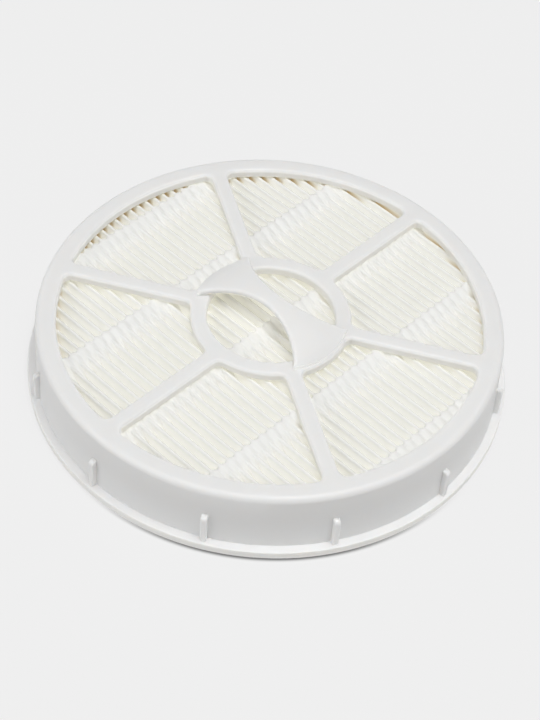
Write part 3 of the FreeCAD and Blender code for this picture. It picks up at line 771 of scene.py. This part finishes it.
class FilterGlueSettings(bpy.types.PropertyGroup):
    """Sizes and colour of the glue beads, and colour of the sealant."""

    colour: FloatVectorProperty(
        name="Glue", description="Colour of the beads",
        default=(0.80, 0.80, 0.78), subtype="COLOR", min=0, max=1)
    # Painted light: emitted by the glue
    glow: FloatVectorProperty(
        name="Glow", description="Light that comes through the milky glue",
        default=(0.03, 0.03, 0.029), subtype="COLOR", min=0, max=1)
    # Painted shade: darker colour in the dip between two tiles
    seam: FloatVectorProperty(
        name="Seam", description="Colour of the seam between two tiles",
        default=(0.785, 0.785, 0.77), subtype="COLOR", min=0, max=1)
    sunk_colour: FloatVectorProperty(
        name="Sunk Glue", description="Colour of the glue between the ridges",
        default=(0.815, 0.81, 0.785), subtype="COLOR", min=0, max=1)
    # Painted light: emitted by the glue between the ridges
    sunk_light: FloatVectorProperty(
        name="Sunk Light", description="Light that comes through the glue between the ridges",
        default=(0.07, 0.068, 0.057), subtype="COLOR", min=0, max=1)
    blend: FloatProperty(
        name="Blend", description="Depth below the ridges where the glue has the tone of the medium",
        default=1.2 * MILLIMETRE, unit="LENGTH", precision=5)
    sealant: FloatVectorProperty(
        name="Sealant", description="Colour of the sealant ring",
        default=(0.80, 0.76, 0.64), subtype="COLOR", min=0, max=1)
    steps: IntProperty(
        name="Steps", description="Points across one tile",
        default=6, min=2)
    blunt_end: FloatProperty(
        name="Blunt End", description="Reach of a tile to its blunt end",
        default=1.3 * MILLIMETRE, unit="LENGTH", precision=5)
    drawn_end: FloatProperty(
        name="Drawn End", description="Reach of a tile to its drawn-out end",
        default=8.0 * MILLIMETRE, unit="LENGTH", precision=5)
    shoulder: FloatProperty(
        name="Shoulder", description="Rounding of the blunt end",
        default=0.9 * MILLIMETRE, unit="LENGTH", precision=5)
    height: FloatProperty(
        name="Height", description="Height of the blunt end",
        default=2.4 * MILLIMETRE, unit="LENGTH", precision=5)
    scallop: FloatProperty(
        name="Scallop", description="Depth of the dip between two tiles",
        default=0.6 * MILLIMETRE, unit="LENGTH", precision=5)
    sink: FloatProperty(
        name="Sink", description="Sinking of the drawn-out end",
        default=4.0 * MILLIMETRE, unit="LENGTH", precision=5)
    web: FloatProperty(
        name="Web", description="Sinking of the glue between two ridges",
        default=1.0 * MILLIMETRE, unit="LENGTH", precision=5)
    wander: FloatProperty(
        name="Wander", description="Shift of the tiles along their ridges",
        default=0.3 * MILLIMETRE, unit="LENGTH", precision=5)
    skin: FloatProperty(
        name="Skin", description="Thickness of the glue",
        default=0.5 * MILLIMETRE, unit="LENGTH", precision=5)


class FilterStageSettings(bpy.types.PropertyGroup):
    """Floor, light and camera."""

    backdrop: FloatVectorProperty(
        name="Backdrop", description="Colour of the floor and background",
        default=(0.863, 0.863, 0.863), subtype="COLOR", min=0, max=1)
    floor_size: FloatProperty(
        name="Floor", description="Side of the floor",
        default=6.0, unit="LENGTH")
    sky: FloatProperty(
        name="Sky", description="Strength of the surrounding light",
        default=0.26, min=0)
    lamp_power: FloatProperty(
        name="Lamp", description="Power of the overhead lamp in watts",
        default=7.0, min=0)
    lamp_size: FloatProperty(
        name="Lamp Size", description="Side of the overhead lamp",
        default=0.5, unit="LENGTH")
    lamp_place: FloatVectorProperty(
        name="Lamp Place", description="Middle of the overhead lamp",
        default=(0.0, -0.22, 1.08), subtype="XYZ", unit="LENGTH")
    left_power: FloatProperty(
        name="Left Lamp", description="Power of the lamp on the picture's left in watts",
        default=2.8, min=0)
    right_power: FloatProperty(
        name="Right Lamp", description="Power of the lamp on the picture's right in watts",
        default=1.2, min=0)
    side_size: FloatProperty(
        name="Side Size", description="Side of each side lamp",
        default=0.7, unit="LENGTH")
    side_distance: FloatProperty(
        name="Side Distance", description="Side lamps from the filter",
        default=1.0, unit="LENGTH")
    side_turn: FloatProperty(
        name="Side Turn", description="Side lamps round from the camera",
        default=math.radians(65), subtype="ANGLE")
    side_elevation: FloatProperty(
        name="Side Elevation", description="Side lamps above the horizon",
        default=math.radians(30), subtype="ANGLE")
    floor_light: FloatProperty(
        name="Floor Light", description="Light that the bright floor throws on the walls",
        default=0.715, min=0)
    # Painted shadow on the floor round the rim: its tone, and below, the side where it is deepest
    contact_shadow: FloatProperty(
        name="Contact", description="Tone of the floor where the rim stands on it, as a share",
        default=0.2, min=0, max=1)
    shade_side: FloatProperty(
        name="Shade Side", description="Side of the rim with the deepest shade on the floor, from +X",
        default=math.radians(-134), subtype="ANGLE")
    even_floor: FloatProperty(
        name="Even Floor", description="Share of the floor's tone that light leaves unchanged",
        default=0.93, min=0, max=1)
    camera_distance: FloatProperty(
        name="Distance", description="Camera to the point it aims at",
        default=0.51294, unit="LENGTH", precision=5)
    camera_bearing: FloatProperty(
        name="Bearing", description="Direction in which the camera stands, from +X",
        default=math.radians(-138.95), subtype="ANGLE")
    camera_elevation: FloatProperty(
        name="Elevation", description="Camera above the horizon",
        default=math.radians(47.947), subtype="ANGLE")
    camera_roll: FloatProperty(
        name="Roll", description="Tilt of the camera about its line of sight",
        default=math.radians(4.788), subtype="ANGLE")
    camera_aim: FloatVectorProperty(
        name="Aim", description="Point on the top face at the middle of the picture",
        default=(-0.014244, -0.013519, CAD_HIGH.z - HANDLE_RISE), subtype="XYZ", unit="LENGTH", precision=5)
    camera_lens: FloatProperty(
        name="Lens", description="Focal length in millimetres",
        default=84.264, min=1)


SETTINGS = {
    "filter_frame": FilterFrameSettings,
    "filter_medium": FilterMediumSettings,
    "filter_glue": FilterGlueSettings,
    "filter_stage": FilterStageSettings,
}


class FILTER_OT_frame(bpy.types.Operator):
    """Moulded frame, with smooth rounds and a satin finish"""

    bl_idname = "filter.frame"
    bl_label = "Moulded Frame"

    def execute(self, context):
        settings = context.scene.filter_frame
        mesh = smooth_copy("moulded_frame", "filter_frame", settings.crease)
        mesh.materials.append(make_plastic(settings))
        new_piece("moulded_frame", mesh, "white_plastic", "filter_frame")
        return {"FINISHED"}


class FILTER_OT_medium(bpy.types.Operator):
    """Folded sheet of filter medium"""

    bl_idname = "filter.medium"
    bl_label = "Folded Medium"

    def execute(self, context):
        settings = context.scene.filter_medium
        half = settings.thickness / 2
        radius = settings.fold_radius - half
        low = PACK["floor"] + half
        high = PACK["ridge"] - half
        mesh = run_tree(medium_tree(), {
            "Folds": 2 * settings.pleats + 1,
            "Fold Points": settings.fold_points,
            "Rows": settings.rows,
            "Pitch": settings.pitch,
            "Fold Radius": radius,
            "Flank Lean": flank_lean(settings.pitch, high - low, radius),
            "Lowest": low,
            "Highest": high,
            "Outline Radius": PACK["radius"],
            "Bead Spacing": PACK["bead_spacing"],
            "Waver": settings.waver,
            "Material": make_medium(settings, context.scene.filter_glue.blunt_end),
        }, settings.thickness, 0)
        new_piece("folded_medium", mesh, "filter_medium", "pleat_pack")
        return {"FINISHED"}


class FILTER_OT_glue(bpy.types.Operator):
    """Glue beads across the ridges, and the glue and sealant that hold the medium"""

    bl_idname = "filter.glue"
    bl_label = "Glue and Sealant"

    def execute(self, context):
        settings = context.scene.filter_glue
        medium = context.scene.filter_medium
        glue = make_glue(settings, medium.pitch)
        mesh = run_tree(bead_tree(), {
            "Ridges": medium.pleats,
            "Beads": len(PACK["beads"]),
            "Steps": settings.steps,
            "Pitch": medium.pitch,
            "Bead Spacing": PACK["bead_spacing"],
            "Outline Radius": PACK["radius"],
            "Top": PACK["bead_top"],
            "Blunt End": settings.blunt_end,
            "Drawn End": settings.drawn_end,
            "Shoulder": settings.shoulder,
            "Height": settings.height,
            "Scallop": settings.scallop,
            "Sink": settings.sink,
            "Web": settings.web,
            "Wander": settings.wander,
            "Material": glue,
        }, settings.skin, -1)
        new_piece("glue_rows", mesh, "glue", *PACK["beads"])
        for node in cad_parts:
            if node.startswith("lower_bead_"):
                paint(node, glue)
        paint("edge_sealant", make_potting(settings.sealant))
        return {"FINISHED"}


class FILTER_OT_stage(bpy.types.Operator):
    """Floor, soft light and the camera of the picture"""

    bl_idname = "filter.stage"
    bl_label = "Stage"

    def execute(self, context):
        settings = context.scene.filter_stage
        context.scene.view_settings.view_transform = "Standard"
        add_floor(settings)
        light_sky(context.scene, settings)
        add_lamp("overhead_lamp", Vector(settings.lamp_place), settings.lamp_size, settings.lamp_power)
        sides = (("left_lamp", -1, settings.left_power), ("right_lamp", 1, settings.right_power))
        for name, side, power in sides:
            toward = direction(settings.camera_bearing + side * settings.side_turn, settings.side_elevation)
            add_lamp(name, settings.side_distance * toward, settings.side_size, power)
        context.scene.camera = add_camera(settings)
        return {"FINISHED"}


class FILTER_PT_panel(bpy.types.Panel):
    """Pieces of the filter and their sizes"""

    bl_idname = "FILTER_PT_panel"
    bl_label = "Pleated Filter"
    bl_space_type = "VIEW_3D"
    bl_region_type = "UI"
    bl_category = "Filter"

    def draw(self, context):
        for name, operator in zip(SETTINGS, STEPS):
            box = self.layout.box()
            box.operator(operator.bl_idname)
            settings = getattr(context.scene, name)
            for label in settings.__annotations__:
                box.prop(settings, label)


STEPS = (FILTER_OT_frame, FILTER_OT_medium, FILTER_OT_glue, FILTER_OT_stage)
CLASSES = (*SETTINGS.values(), *STEPS, FILTER_PT_panel)


def register():
    for item in CLASSES:
        bpy.utils.register_class(item)
    for name, group in SETTINGS.items():
        setattr(bpy.types.Scene, name, PointerProperty(type=group))


def unregister():
    for name in SETTINGS:
        delattr(bpy.types.Scene, name)
    for item in reversed(CLASSES):
        bpy.utils.unregister_class(item)


def main():
    register()
    bpy.ops.filter.frame()
    bpy.ops.filter.medium()
    bpy.ops.filter.glue()
    bpy.ops.filter.stage()


if __name__ == "__main__":
    main()
